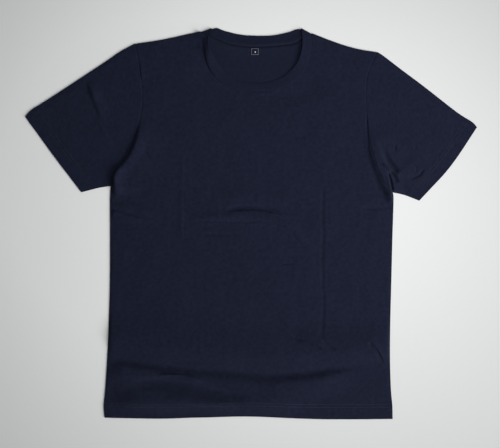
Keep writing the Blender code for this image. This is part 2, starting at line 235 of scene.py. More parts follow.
LEFT_SIDE = smooth([(left, height) for height, left, _ in SIDE_SECTIONS] + [LEFT_ARMHOLE[0]])
RIGHT_SIDE = smooth([(right, height) for height, _, right in SIDE_SECTIONS] + [RIGHT_ARMHOLE[0]])
HEM_TRACK = track(smooth(HEM))
FOLD_TRACKS = [track(LEFT_SIDE), track(RIGHT_SIDE), track(smooth(LEFT_SHOULDER)),
               track(smooth(RIGHT_SHOULDER))]
ARMHOLE_TRACKS = [track(smooth(LEFT_ARMHOLE)), track(smooth(RIGHT_ARMHOLE))]


def closest(places, tracks):
    """Distance from each place to the nearest of several tracks."""
    return np.min([nearest(places, path)[0] for path in tracks], axis=0)


def turned_up(distance, depth, ridge=SEWN_RIDGE):
    """Extra thickness of a hem, from the distance to its edge, with its sewn ridge."""
    ridge = ridge * np.exp(-(((distance - depth + SEWN_RIDGE_WIDTH) / SEWN_RIDGE_WIDTH) ** 2))
    return TURN_UP * ease((depth + TURN_UP_EDGE - distance) / TURN_UP_EDGE) + ridge


# The cloth's mesh: points along its outline, rings of points at depths inside it, and
# grids further in, the finer one beside creases, each clear of the points before it.
EDGE_STEP = 3.0
EDGE_RINGS = (0.15, 0.45, 0.9, 1.5, 2.4, 3.8, 5.6, 8.0)
RING_SPACE = 0.8
GRID_SPACE = 0.5
CREASE_SPACE = 1.0
BACK_GRID = (7.0, 6.0)
FINE_GRID = (1.5, 1.3)
MERGE_DISTANCE = 1e-5


def panel_outline(neck):
    """A body panel's outline, against the clock from the hem's left end."""
    edges = (
        evenly(smooth(HEM), EDGE_STEP),
        evenly(RIGHT_SIDE, EDGE_STEP),
        evenly(smooth(RIGHT_ARMHOLE), EDGE_STEP),
        evenly(smooth(RIGHT_SHOULDER), EDGE_STEP)[::-1],
        evenly(neck, EDGE_STEP),
        evenly(smooth(LEFT_SHOULDER), EDGE_STEP),
        evenly(smooth(LEFT_ARMHOLE), EDGE_STEP)[::-1],
        evenly(LEFT_SIDE, EDGE_STEP)[::-1],
    )
    points = np.vstack(edges)
    apart = np.linalg.norm(points - np.roll(points, 1, axis=0), axis=1)
    return points[apart > 2 * EDGE_RINGS[0]]


def beside_creases(places, creases):
    """Whether each place is on a crease or close beside it."""
    close = np.zeros(len(places), bool)
    for _, to_left, to_right, _, _, path in creases:
        curve = smooth(path)
        reach = max(to_left, to_right) + CREASE_SPACE
        low, high = curve.min(axis=0) - reach, curve.max(axis=0) + reach
        near = np.all((places > low) & (places < high), axis=1)
        close[near] |= nearest(places[near], track(curve))[0] < reach
    return close


def within(places, outline):
    """Whether each place is inside an outline, by crossings of its edges."""
    inside = np.zeros(len(places), bool)
    for start, end in zip(outline, np.roll(outline, -1, axis=0)):
        spans = (start[1] > places[:, 1]) != (end[1] > places[:, 1])
        with np.errstate(divide="ignore", invalid="ignore"):
            cross = (places[:, 1] - start[1]) * (end[0] - start[0]) / (end[1] - start[1])
        inside ^= spans & (places[:, 0] < start[0] + cross)
    return inside


def staggered(low, high, grid):
    """Rows of places over a rectangle, every second row shifted by half a step."""
    across = np.arange(low[0], high[0], grid[0])
    rows = [np.column_stack((across + grid[0] / 2 * (number % 2), np.full(len(across), line)))
            for number, line in enumerate(np.arange(low[1], high[1], grid[1]))]
    return np.vstack(rows)


def cut_points(outline, grid, creases=()):
    """Places inside a cut: rings along its edge, then a grid, finer beside creases."""
    edge = track(np.vstack((outline, outline[:1])))
    ahead = np.roll(outline, -1, axis=0) - np.roll(outline, 1, axis=0)
    ahead /= np.linalg.norm(ahead, axis=1)[:, None]
    inward = np.column_stack((-ahead[:, 1], ahead[:, 0]))
    low, high = outline.min(axis=0), outline.max(axis=0)
    coarse, fine = staggered(low, high, grid), staggered(low, high, FINE_GRID)
    layers = [(outline + depth * inward, RING_SPACE * depth) for depth in EDGE_RINGS]
    from_rings = EDGE_RINGS[-1] + GRID_SPACE * min(grid)
    layers.append((coarse[~beside_creases(coarse, creases)], from_rings))
    layers.append((fine[beside_creases(fine, creases)], EDGE_RINGS[-1]))
    kept = [outline]
    for places, from_edge in layers:
        places = places[within(places, outline)]
        kept.append(places[nearest(places, edge)[0] > from_edge])
    return np.vstack(kept)


def skin(outline, places):
    """Triangles over the places inside an outline, which are the first of them."""
    loop = list(range(len(outline)))
    inside = 1
    points, _, triangles, *_ = delaunay_2d_cdt([Vector(place) for place in places], [], [loop],
                                               inside, MERGE_DISTANCE)
    return np.array(points), triangles


def placed(name, data):
    """A new object in the scene that holds a mesh, a light or a camera."""
    piece = bpy.data.objects.new(name, data)
    bpy.context.scene.collection.objects.link(piece)
    return piece


def cloth_mesh(name, vertices, faces, cloth_map, materials, second=()):
    """Smooth object from points in millimetres, with its place on the flat cloth."""
    mesh = bpy.data.meshes.new(name)
    mesh.from_pydata(np.array(vertices) * MM, [], faces)
    layer = mesh.uv_layers.new(name="cloth")
    corners = np.empty(len(mesh.loops), int)
    mesh.loops.foreach_get("vertex_index", corners)
    layer.data.foreach_set("uv", (np.array(cloth_map) * MM)[corners].ravel())
    for material in materials:
        mesh.materials.append(material)
    if len(second):
        mesh.polygons.foreach_set("material_index", np.array(second, int))
    mesh.shade_smooth()
    mesh.update()
    return placed(name, mesh)


def panel(name, outline, upper_places, lower_places, heights, materials):
    """A cut wall of cloth: its upper and lower skins, each with its material, and its rim."""
    high, high_faces = skin(outline, upper_places)
    low, low_faces = skin(outline, lower_places)
    count, rim = len(high), len(outline)
    upper = np.column_stack((high, heights(high)[1]))
    vertices = np.vstack((upper, np.column_stack((low, heights(low)[0]))))
    faces = [tuple(face) for face in high_faces]
    faces += [tuple(count + spot for spot in reversed(face)) for face in low_faces]
    sides = [(spot, (spot + 1) % rim) for spot in range(rim)]
    faces += [(count + a, count + b, b, a) for a, b in sides]
    lower = np.zeros(len(faces), int)
    lower[len(high_faces):len(high_faces) + len(low_faces)] = 1
    return cloth_mesh(name, vertices, faces, vertices[:, :2], materials, lower)


def beside(seam, distance):
    """A panel's edge, at a distance to the left of the sewn edge of the neckband."""
    return seam + distance * sideways(seam)


BACK_NECK = beside(evenly(smooth(BACK_SEAM), EDGE_STEP), -UNDER_BAND)[::-1]
BACK_NECK_TRACK = track(BACK_NECK)

# The back's cloth swells beside the neckband, and more so toward the left.
PUCKER = 1.8
PUCKER_REACH = 3.6
PUCKER_START = 1.2
PUCKER_LEAN = 1.6
PUCKER_LEAN_REACH = 80.0


def swell(distance, reach):
    """Height from 0 at a seam to 1 at its reach, and slowly down again beyond it."""
    return distance / reach * np.exp(1 - distance / reach)


def seam_groove(distance):
    """Depth of the groove beside a seam, as a share of its full depth."""
    return np.exp(-((distance / SEAM_REACH) ** 2))


def rim_share(from_edge, thickness):
    """Share of a hemmed wall's thickness that is left near its rounded edge."""
    return np.maximum(LEAST_RIM_SHARE, rounding(from_edge / (thickness / 2)))


def body_wall(places):
    """Of both body panels: height of the pile of two, share of the roll that is passed,
    thickness of one, share of it that the hem's rounded edge leaves, and seam groove."""
    from_hem = nearest(places, HEM_TRACK)[0]
    extra = turned_up(from_hem, HEM_DEPTH)
    pile = 2 * WALL + GAP + 2 * extra
    rolled = rounding(closest(places, FOLD_TRACKS) / (pile / 2))
    thickness = RIM + (CLOTH + extra - RIM) * rolled
    share = rim_share(from_hem, CLOTH + extra)
    groove = SEAM_DIP * seam_groove(closest(places, ARMHOLE_TRACKS))
    return pile, rolled, thickness, share, groove


def back_faces(places):
    """Heights of the back panel's lower and upper faces."""
    pile, rolled, thickness, share, groove = body_wall(places)
    low = (pile / 2 - LAYER_CLEAR - RIM) * (1 - rolled)
    from_neck = nearest(places, BACK_NECK_TRACK)[0] + UNDER_BAND - PUCKER_START
    pucker = PUCKER * swell(np.maximum(from_neck, 0.0), PUCKER_REACH)
    pucker *= 1 + PUCKER_LEAN * np.clip(-places[:, 0] / PUCKER_LEAN_REACH, 0.0, 1.0)
    lower = low + thickness * (1 - share) / 2
    return lower, low + thickness * (1 + share) / 2 - groove + pucker


# The knit: its colours, its columns and courses in millimetres, and how much uneven yarn,
# broad shades, mottling, painted shade in the stitch hollows and fuzz change its shade or its height.
JERSEY_DARK = (0.0062, 0.0080, 0.0205)
JERSEY_LIGHT = (0.0154, 0.0183, 0.0380)
INSIDE_DARK = (0.0074, 0.0092, 0.0222)
INSIDE_LIGHT = (0.0130, 0.0156, 0.0330)
WALE = 0.85
COURSE = 0.62
FACE_SLANT = 0.55
INSIDE_SLANT = 0.20
JERSEY_DEPTH = 0.10
KNIT_BUMP = 0.6
KNIT_LOOK = {
    "Roughness": 0.88,
    "Specular IOR Level": 0.06,
    "Sheen Weight": 0.04,
    "Sheen Roughness": 0.6,
    "Sheen Tint": (0.55, 0.6, 0.8, 1.0),
}
YARN_SCALE = (260.0, 1500.0, 1.0)
BROAD_SCALE = 22.0
MOTTLE_SCALE = 150.0
FUZZ_SCALE = 3500.0
YARN_SHARE = 0.4
BROAD_SHARE = 0.3
MOTTLE_SHARE = 1.1
SHADE_START = 0.4
HOLLOW_PAINTED_SHADE = 0.12
FUZZ_SHARE = 0.35


def link(tree, output, socket):
    """Joins two sockets of a node tree."""
    tree.links.new(output, socket)


def math_node(tree, operation, first, second=None, clamp=False):
    """Output of a math node on two values, sockets or numbers."""
    node = tree.nodes.new("ShaderNodeMath")
    node.operation = operation
    node.use_clamp = clamp
    for socket, value in zip(node.inputs, (first, second)):
        if hasattr(value, "links"):
            tree.links.new(value, socket)
        elif value is not None:
            socket.default_value = value
    return node.outputs[0]


def knit_group():
    """Face of a plain knit: columns of slanting legs, with hollows between them."""
    group = bpy.data.node_groups.new("plain_knit", "ShaderNodeTree")
    for name in ("Wale", "Course", "Slant"):
        group.interface.new_socket(name, in_out="INPUT", socket_type="NodeSocketFloat")
    group.interface.new_socket("Place", in_out="INPUT", socket_type="NodeSocketVector")
    group.interface.new_socket("Height", in_out="OUTPUT", socket_type="NodeSocketFloat")
    group.interface.new_socket("Hollow", in_out="OUTPUT", socket_type="NodeSocketFloat")
    source = group.nodes.new("NodeGroupInput")
    result = group.nodes.new("NodeGroupOutput")
    split = group.nodes.new("ShaderNodeSeparateXYZ")
    link(group, source.outputs["Place"], split.inputs[0])
    across = math_node(group, "DIVIDE", split.outputs[0], source.outputs["Wale"])
    along = math_node(group, "DIVIDE", split.outputs[1], source.outputs["Course"])
    column = math_node(group, "FRACT", across)
    mirrored = math_node(group, "ABSOLUTE", math_node(group, "SUBTRACT", column, 0.5))
    slant = math_node(group, "MULTIPLY", mirrored, source.outputs["Slant"])
    sloping = math_node(group, "SUBTRACT", along, math_node(group, "MULTIPLY", slant, 2.0))
    row = math_node(group, "FRACT", sloping)
    leg = math_node(group, "SINE", math_node(group, "MULTIPLY", mirrored, 2 * math.pi))
    loop = math_node(group, "SINE", math_node(group, "MULTIPLY", row, math.pi))
    legs = math_node(group, "ABSOLUTE", leg)
    height = math_node(group, "MULTIPLY", legs, math_node(group, "SQRT", loop))
    link(group, height, result.inputs["Height"])
    link(group, math_node(group, "SUBTRACT", 1.0, height), result.inputs["Hollow"])
    return group


KNIT = knit_group()


def mix_colours(tree, factor, first, second):
    """Output of a colour mix of two colours, each a socket or a value."""
    node = tree.nodes.new("ShaderNodeMix")
    node.data_type = "RGBA"
    link(tree, factor, node.inputs[0])
    for socket, value in zip(node.inputs[6:8], (first, second)):
        if hasattr(value, "links"):
            link(tree, value, socket)
        else:
            socket.default_value = (*value, 1.0)
    return node.outputs[2]


def noise_node(tree, place, scale, detail):
    """Factor of a noise texture at a vector, with its features per metre."""
    node = tree.nodes.new("ShaderNodeTexNoise")
    node.inputs["Scale"].default_value = scale
    node.inputs["Detail"].default_value = detail
    link(tree, place, node.inputs["Vector"])
    return node.outputs["Fac"]


def bumped(tree, height, strength, depth):
    """Normal of a surface raised by a height, to a depth in millimetres."""
    node = tree.nodes.new("ShaderNodeBump")
    node.inputs["Strength"].default_value = strength
    node.inputs["Distance"].default_value = depth * MM
    link(tree, height, node.inputs["Height"])
    return node.outputs[0]


def scaled(tree, vector, factors):
    """Output of a mapping node that scales a vector."""
    node = tree.nodes.new("ShaderNodeMapping")
    node.inputs["Scale"].default_value = factors
    link(tree, vector, node.inputs["Vector"])
    return node.outputs[0]


def new_material(name, look):
    """A material with its node tree and its shader, whose inputs take a look's values."""
    material = bpy.data.materials.new(name)
    material.use_nodes = True
    shader = material.node_tree.nodes["Principled BSDF"]
    for setting, value in look.items():
        shader.inputs[setting].default_value = value
    return material, material.node_tree, shader


def cloth_place(tree):
    """Place on the flat cloth, in metres."""
    node = tree.nodes.new("ShaderNodeUVMap")
    node.uv_map = "cloth"
    return node.outputs[0]


def knit_material(name, dark, light, wale, course, slant, depth):
    """Cotton knit: stitches with painted shade in their hollows, uneven yarn and broad soft changes of
    shade.
    """
    material, tree, shader = new_material(name, KNIT_LOOK)
    place = cloth_place(tree)
    stitches = tree.nodes.new("ShaderNodeGroup")
    stitches.node_tree = KNIT
    stitches.inputs["Wale"].default_value = wale * MM
    stitches.inputs["Course"].default_value = course * MM
    stitches.inputs["Slant"].default_value = slant
    link(tree, place, stitches.inputs["Place"])
    # Painted shade: the hollows between the stitches are darkened in the cloth's colour.
    shade = math_node(tree, "MULTIPLY", stitches.outputs["Hollow"], -HOLLOW_PAINTED_SHADE)
    shade = math_node(tree, "SUBTRACT", shade, SHADE_START)
    yarn = noise_node(tree, scaled(tree, place, YARN_SCALE), 1.0, detail=3.0)
    broad = noise_node(tree, place, BROAD_SCALE, detail=3.0)
    mottle = noise_node(tree, place, MOTTLE_SCALE, detail=4.0)
    for uneven, share in ((yarn, YARN_SHARE), (broad, BROAD_SHARE), (mottle, MOTTLE_SHARE)):
        shade = math_node(tree, "ADD", shade, math_node(tree, "MULTIPLY", uneven, share))
    link(tree, mix_colours(tree, shade, dark, light), shader.inputs["Base Color"])
    fuzz = noise_node(tree, place, FUZZ_SCALE, detail=2.0)
    fuzz = math_node(tree, "MULTIPLY", fuzz, FUZZ_SHARE)
    height = math_node(tree, "ADD", stitches.outputs["Height"], fuzz)
    link(tree, bumped(tree, height, KNIT_BUMP, depth), shader.inputs["Normal"])
    return material


JERSEY = knit_material("navy_jersey", JERSEY_DARK, JERSEY_LIGHT,
                       WALE, COURSE, FACE_SLANT, JERSEY_DEPTH)
JERSEY_INSIDE = knit_material("navy_jersey_inside", INSIDE_DARK, INSIDE_LIGHT,
                              COURSE, WALE, INSIDE_SLANT, JERSEY_DEPTH)

back_outline = panel_outline(BACK_NECK)
back_places = cut_points(back_outline, BACK_GRID)
back_cloth = panel("back_cloth", back_outline, back_places, back_places, back_faces,
                   (JERSEY_INSIDE, JERSEY))
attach(back_cloth, "root")
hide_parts("back_panel")


# ---------------------------------------------------------------------------
# Front panel: the same jersey with the low crew neckline. It lies on the back
# panel with a little air between, and keeps the creases of folding and handling.

AIR = 2.9
AIR_REACH = 60.0
ROLL = 0.35
ROLL_REACH = 7.0
HEM_AIR_SHARE = 0.2
HEM_AIR_REACH = 60.0
CREASE_REACH = 6.0
EDGE_REACH = 5.0
NECK_DIP = 0.08
FRONT_GRID = (3.0, 2.7)
FRONT_UNDER_GRID = (8.0, 7.0)

# Edges of the sleeves, over which the front's folds run on, and the front neck seam.
LEFT_SLEEVE_TOP = (
    (-213.0, 331.0),
    (-240.0, 316.6),
    (-270.0, 296.0),
    (-314.0, 267.0),
    (-373.0, 228.4),
    (-404.0, 208.6),
    (-415.4, 196.4),
)
RIGHT_SLEEVE_TOP = (
    (232.0, 315.5),
    (245.0, 307.0),
    (275.0, 284.0),
    (319.0, 251.0),
    (378.0, 205.0),
    (407.0, 186.0),
    (415.6, 176.5),
)
LEFT_UNDERARM = (
    (-258.6, 69.6),
    (-270.0, 68.2),
    (-285.0, 65.4),
    (-313.0, 58.2),
)
RIGHT_UNDERARM = (
    (261.4, 57.6),
    (275.0, 55.0),
    (289.0, 51.0),
    (310.5, 42.8),
)
LEFT_CUFF = (
    (-415.4, 196.4),
    (-365.0, 127.0),
    (-313.0, 58.2),
)
RIGHT_CUFF = (
    (415.6, 176.5),
    (367.0, 105.0),
    (310.5, 42.8),
)
FRONT_SEAM = (
    (108.9, 349.6),
    (111.4, 335.0),
    (109.6, 312.0),
    (101.0, 287.0),
    (81.0, 263.6),
    (54.0, 249.4),
    (24.0, 244.6),
    (-14.0, 245.8),
    (-44.0, 253.8),
    (-68.0, 272.0),
    (-81.5, 294.0),
    (-87.4, 320.0),
    (-89.4, 340.0),
    (-90.0, 352.4),
)

# Largest folds: a ridge has a height over zero, a trough one under it. Columns:
# height, half width to the left of its path and to the right, length over which it
# fades at the path's start and at its end, path.
FOLDS = (
    (5.6, 60.0, 36.0, 60.0, 60.0, ((-300, -206), (-118, -231), (30, -241), (120, -236), (300, -226))),
    (-1.8, 10.0, 9.0, 30.0, 50.0, ((-262, -246), (-196, -257), (-118, -267), (-50, -271), (30, -278),
                                   (105, -274), (150, -267), (208, -264))),
    (5.8, 15.0, 44.0, 40.0, 60.0, ((-268, -260), (-196, -272), (-118, -283), (-50, -288), (30, -295),
                                   (63, -293), (105, -290), (140, -284), (190, -279))),
    (8.0, 44.0, 27.0, 70.0, 110.0, ((-268, -322), (-170, -328), (-90, -330), (-10, -331), (60, -333),
                                    (140, -334))),
    (-5.6, 12.0, 20.0, 60.0, 40.0, ((-236, -292), (-206, -291), (-176, -290), (-150, -291), (-120, -296),
                                    (-90, -302), (-60, -309), (-30, -315), (0, -319))),
    (3.2, 18.0, 9.0, 50.0, 50.0, ((-176, -314), (-130, -322), (-90, -328), (-50, -331), (-10, -332))),
    (1.1, 24.0, 4.5, 60.0, 60.0, ((-264, -328), (-167, -330), (-93, -328), (0, -326), (91, -330),
                                  (165, -331), (258, -331))),
    (-2.4, 50.0, 50.0, 50.0, 50.0, ((-116, 296), (-50, 252), (15, 238), (80, 244), (140, 290))),
    (-3.4, 9.0, 7.0, 28.0, 28.0, ((-46, 27), (-10, 29), (20, 28), (62, 19))),
    (1.4, 20.0, 20.0, 40.0, 40.0, ((-74, 46), (12, 50), (90, 36))),
    (2.4, 16.0, 16.0, 45.0, 45.0, ((-122, 6), (-30, 12), (60, 0), (108, -44))),
    (2.4, 13.0, 13.0, 25.0, 25.0, ((-256, 38), (-222, 28), (-172, 15))),
    (3.6, 70.0, 9.0, 40.0, 16.0, ((-194, 200), (-202, 174), (-207, 156), (-213, 140), (-221, 124),
                                  (-232, 109), (-243, 96), (-249, 84), (-250, 68), (-248, 54), (-246, 44))),
    (3.8, 22.0, 8.5, 60.0, 12.0, ((-198, 186), (-202, 174), (-207, 156), (-213, 140), (-221, 124),
                                  (-232, 109), (-243, 96), (-248, 84), (-248, 70), (-245, 54))),
    (3.4, 12.0, 8.0, 12.0, 14.0, ((-234, 108), (-245, 95), (-250, 84), (-249, 70), (-245, 58), (-242, 50))),
    (6.2, 34.0, 13.0, 90.0, 12.0, ((215, 196), (218, 170), (223, 138), (231, 110), (241, 90), (248, 73),
                                   (254, 58), (260, 44), (264, 34))),
    (1.4, 3.0, 4.0, 12.0, 8.0, ((248, 90), (252, 76), (255, 62), (257, 48))),
    (3.0, 32.0, 32.0, 34.0, 24.0, ((226, 180), (240, 156), (256, 130), (272, 104), (292, 80))),
    (2.2, 26.0, 20.0, 20.0, 24.0, ((280, 118), (296, 98), (318, 84), (336, 80))),
    (3.2, 20.0, 7.5, 22.0, 45.0, ((-301, 262), (-291, 240), (-282, 216), (-266, 178))),
    (1.2, 14.0, 14.0, 20.0, 20.0, ((80, -204), (112, -216), (150, -220))),
    (1.2, 14.0, 14.0, 20.0, 20.0, ((206, -206), (226, -226), (242, -256))),
)

# Finer creases, in the same columns.
CREASES = (
    (0.6, 3.5, 10.0, 45.0, 45.0, ((-127, 150), (-125, 100), (-127, 40), (-126, -52))),
    (-0.65, 7.0, 5.0, 45.0, 45.0, ((130, 92), (132, 60), (130, 20), (132, -20), (129, -60), (131, -110),
                                   (133, -150), (130, -190), (131, -234))),
    (0.35, 5.0, 5.0, 45.0, 45.0, ((136, 92), (137, 10), (136, -80), (137, -160), (136, -228))),
    (-1.3, 5.0, 4.0, 35.0, 35.0, ((-122, 4), (-60, 4), (0, 3), (30, 6))),
    (-1.1, 5.0, 4.0, 20.0, 20.0, ((-90, -18), (-56, -21), (-24, -21))),
    (-0.8, 5.0, 5.0, 35.0, 35.0, ((-6, 6), (40, 0), (76, -20), (104, -54))),
    (3.0, 5.0, 4.0, 20.0, 14.0, ((-174, -278), (-140, -277), (-117, -280), (-90, -291))),
    (2.6, 3.5, 16.0, 8.0, 50.0, ((-258, 24), (-240, 19), (-212, 11), (-168, 2))),
    (1.6, 5.0, 16.0, 24.0, 24.0, ((-50, 18), (-10, 22), (20, 21), (56, 15))),
    (-1.3, 12.0, 4.0, 20.0, 12.0, ((198, 29), (230, 27), (260, 28))),
    (-1.2, 3.0, 3.0, 12.0, 12.0, ((54, -75), (75, -73), (97, -76))),
    (-1.2, 3.0, 3.0, 10.0, 10.0, ((-128, -27), (-112, -27), (-98, -32))),
    (-3.6, 3.0, 5.0, 14.0, 10.0, ((78, -206), (96, -213), (114, -221), (134, -233))),
    (1.2, 4.0, 3.0, 14.0, 10.0, ((84, -212), (106, -222), (130, -234))),
    (-3.4, 3.0, 4.0, 8.0, 8.0, ((130, -214), (142, -223), (157, -233))),
    (-4.4, 4.0, 5.0, 12.0, 12.0, ((213, -215), (227, -230), (236, -244), (243, -260))),
    (-2.2, 3.0, 4.5, 10.0, 10.0, ((133, -262), (150, -266), (166, -276))),
    (1.2, 14.0, 4.0, 10.0, 20.0, ((-302, 264), (-293, 243), (-285, 222))),
    (1.0, 3.0, 8.0, 16.0, 16.0, ((-281, 201), (-272, 175), (-260, 156))),
    (1.0, 8.0, 2.6, 12.0, 12.0, ((-203, 300), (-202, 280), (-200, 260))),
    (-1.2, 5.0, 6.0, 8.0, 8.0, ((-122, 337), (-108, 331), (-93, 322))),
    (-0.9, 2.0, 2.4, 14.0, 14.0, ((-88, 340), (-87, 320), (-82, 296), (-73, 278), (-64, 269))),
    (-0.9, 2.2, 2.2, 6.0, 6.0, ((5, 244.4), (18, 243.4), (35, 244.6))),
    (0.7, 3.0, 4.0, 6.0, 6.0, ((2, 240), (18, 239), (40, 242), (52, 250))),
    (-1.5, 3.0, 5.0, 8.0, 8.0, ((-198, 133), (-190, 126), (-183, 120))),
    (-1.2, 4.5, 10.0, 30.0, 14.0, ((-209, 186), (-215, 160), (-219, 146), (-226, 129), (-237, 114),
                                   (-248, 101), (-257, 90), (-261, 76))),
    (-6.0, 6.0, 9.0, 8.0, 8.0, ((-266, 94), (-260, 86), (-256, 76), (-254, 66))),
    (-1.5, 3.0, 3.0, 20.0, 20.0, ((211, 204), (213, 186), (215, 142), (219, 123), (226, 103))),
    (-1.4, 8.0, 8.0, 14.0, 14.0, ((220, 116), (226, 94), (232, 76), (241, 59), (252, 44))),
    (-5.0, 3.0, 3.4, 8.0, 8.0, ((251, 97), (256, 81), (259, 66), (260, 48))),
    (4.2, 4.0, 3.5, 10.0, 8.0, ((238, 110), (250, 103), (260, 97), (276, 87))),
    (-5.4, 4.0, 8.0, 9.0, 9.0, ((253, 99), (261, 90), (272, 75))),
    (-6.2, 9.0, 8.0, 48.0, 12.0, ((235, 152), (243, 132), (251, 115), (262, 101), (272, 91))),
    (-2.2, 2.5, 3.5, 6.0, 6.0, ((265, 147), (265, 131))),
    (-1.1, 2.5, 3.0, 5.0, 5.0, ((302, 145), (302, 136))),
    (-2.2, 3.0, 4.0, 12.0, 8.0, ((287, 84), (300, 85), (311, 91), (318, 102))),
    (-1.0, 3.0, 3.0, 5.0, 5.0, ((303, 108), (304, 92))),
)

# Slack waves. Columns: size, height.
RIPPLES = ((52.0, 0.6), (19.0, 0.5), (8.0, 0.26))

ROLLED_TRACKS = [
    track(np.vstack((LEFT_SIDE, smooth(LEFT_UNDERARM)))),
    track(np.vstack((RIGHT_SIDE, smooth(RIGHT_UNDERARM)))),
    track(np.vstack((smooth(LEFT_SHOULDER), smooth(LEFT_SLEEVE_TOP)))),
    track(np.vstack((smooth(RIGHT_SHOULDER), smooth(RIGHT_SLEEVE_TOP)))),
]
OPEN_TRACKS = [HEM_TRACK, track(smooth(LEFT_CUFF)), track(smooth(RIGHT_CUFF))]


def folds(places, rows):
    """Sum of the ridges and troughs in a table, at the places."""
    lift = np.zeros(len(places))
    for height, to_left, to_right, fade_in, fade_out, path in rows:
        curve = smooth(path)
        low = curve.min(axis=0) - max(to_left, to_right)
        high = curve.max(axis=0) + max(to_left, to_right)
        near = np.all((places > low) & (places < high), axis=1)
        distance, along, left = nearest(places[near], track(curve))
        length = length_along(curve)[-1]
        taper = ease(along * length / fade_in) * ease((1 - along) * length / fade_out)
        lift[near] += height * ease(1 - distance / np.where(left, to_left, to_right)) * taper
    return lift


def ripples(places):
    """Slight uneven waves of slack cloth."""
    total = np.zeros(len(places))
    for size, height in RIPPLES:
        total += [height * noise.noise(Vector((x / size, y / size, size))) for x, y in places]
    return total


def rise(places):
    """How far air, folds and creases lift the upper layer off the lower one."""
    inside = closest(places, ROLLED_TRACKS)
    share = ease(closest(places, OPEN_TRACKS) / HEM_AIR_REACH)
    lift = AIR * (HEM_AIR_SHARE + (1 - HEM_AIR_SHARE) * share) * (1 - np.exp(-inside / AIR_REACH))
    lift += ROLL * swell(inside, ROLL_REACH)
    lift += folds(places, FOLDS)
    fine = folds(places, CREASES) + ripples(places)
    return np.maximum(lift + fine * ease(inside / CREASE_REACH), 0.0) * ease(inside / EDGE_REACH)


FRONT_NECK = beside(evenly(smooth(FRONT_SEAM), EDGE_STEP), UNDER_BAND)
FRONT_NECK_TRACK = track(FRONT_NECK)


def front_faces(places):
    """Heights of the front panel's lower and upper faces."""
    pile, rolled, thickness, share, groove = body_wall(places)
    above = pile / 2 - LAYER_CLEAR - RIM
    top = pile - above + above * rolled + rise(places)
    groove = groove + NECK_DIP * seam_groove(nearest(places, FRONT_NECK_TRACK)[0])
    return top - thickness * (1 + share) / 2, top - thickness * (1 - share) / 2 - groove


front_outline = panel_outline(FRONT_NECK)
front_cloth = panel("front_cloth", front_outline, cut_points(front_outline, FRONT_GRID, CREASES),
                    cut_points(front_outline, FRONT_UNDER_GRID), front_faces, (JERSEY, JERSEY_INSIDE))
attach(front_cloth, "root")
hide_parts("front_panel")


# ---------------------------------------------------------------------------
# Sleeves: each is one piece of jersey, sewn into a tube along the underarm, with
# a turned and stitched cuff hem. Their flattened tubes are set into the armholes.

CUFF_DEPTH = 25.0
CUFF_RIDGE = 0.04
SEAM_SHIFT = 0.05
SLEEVE_ACROSS = 110
SLEEVE_RINGS = 100
END_STEPS = (0.15, 0.5, 1.1, 2.0)
FOLD_SHARES = (0.0, 0.003, 0.008, 0.016, 0.028)
NOSE_ANGLES = np.linspace(math.pi / 10, math.pi * 9 / 10, 9)


def sleeve_rings(top, underarm, armhole, cuff, across):
    """Places across a sleeve, ring by ring, and each ring's distance from the cuff."""
    length = length_along(smooth(top))[-1]
    first = SEAM_SHIFT / length
    even = np.linspace(first, 1.0, SLEEVE_RINGS)
    ends = np.array(END_STEPS) / length
    shares = np.concatenate((even, first + ends, 1 - ends))
    shares = np.unique(np.round(shares, decimals=6))
    start = at_shares(smooth(armhole), 1 - across[::-1])[::-1]
    end = at_shares(smooth(cuff), across)
    upper = at_shares(smooth(top), shares)
    lower = at_shares(smooth(underarm), shares)
    rings = []
    for share, high, low in zip(shares, upper, lower):
        along = (1 - share) * start + share * end
        sides = (1 - across[:, None]) * high + across[:, None] * low
        corners = (1 - across[:, None]) * along[0] + across[:, None] * along[-1]
        rings.append(along + sides - corners)
    return rings, (1 - shares) * length


def nose(edge, neighbour, low, high):
    """Round turn of a wall at a sleeve's fold, from the height low to high."""
    outward = edge - neighbour
    outward /= np.linalg.norm(outward)
    radius = (high - low) / 2
    return [(*(edge + outward * radius * math.sin(angle)), low + radius * (1 - math.cos(angle)))
            for angle in NOSE_ANGLES]


def tube_section(flat, low, high):
    """One ring of a flattened tube: its upper side, far fold, lower side and near fold."""
    upper = [(*place, height) for place, height in zip(flat, high)]
    lower = [(*place, height) for place, height in zip(flat, low)]
    far = nose(flat[-1], flat[-2], low[-1], high[-1])
    near = nose(flat[0], flat[1], low[0], high[0])
    return [*upper, *far[::-1], *lower[::-1], *near]


def bridge(first, second, size):
    """Faces between two rings, each given by the number of its first point."""
    pairs = [(spot, (spot + 1) % size) for spot in range(size)]
    return [(first + a, first + b, second + b, second + a) for a, b in pairs]


def face_outward(piece):
    """Turns all faces of a closed piece to the outside."""
    body = bmesh.new()
    body.from_mesh(piece.data)
    bmesh.ops.recalc_face_normals(body, faces=body.faces)
    body.to_mesh(piece.data)
    body.free()


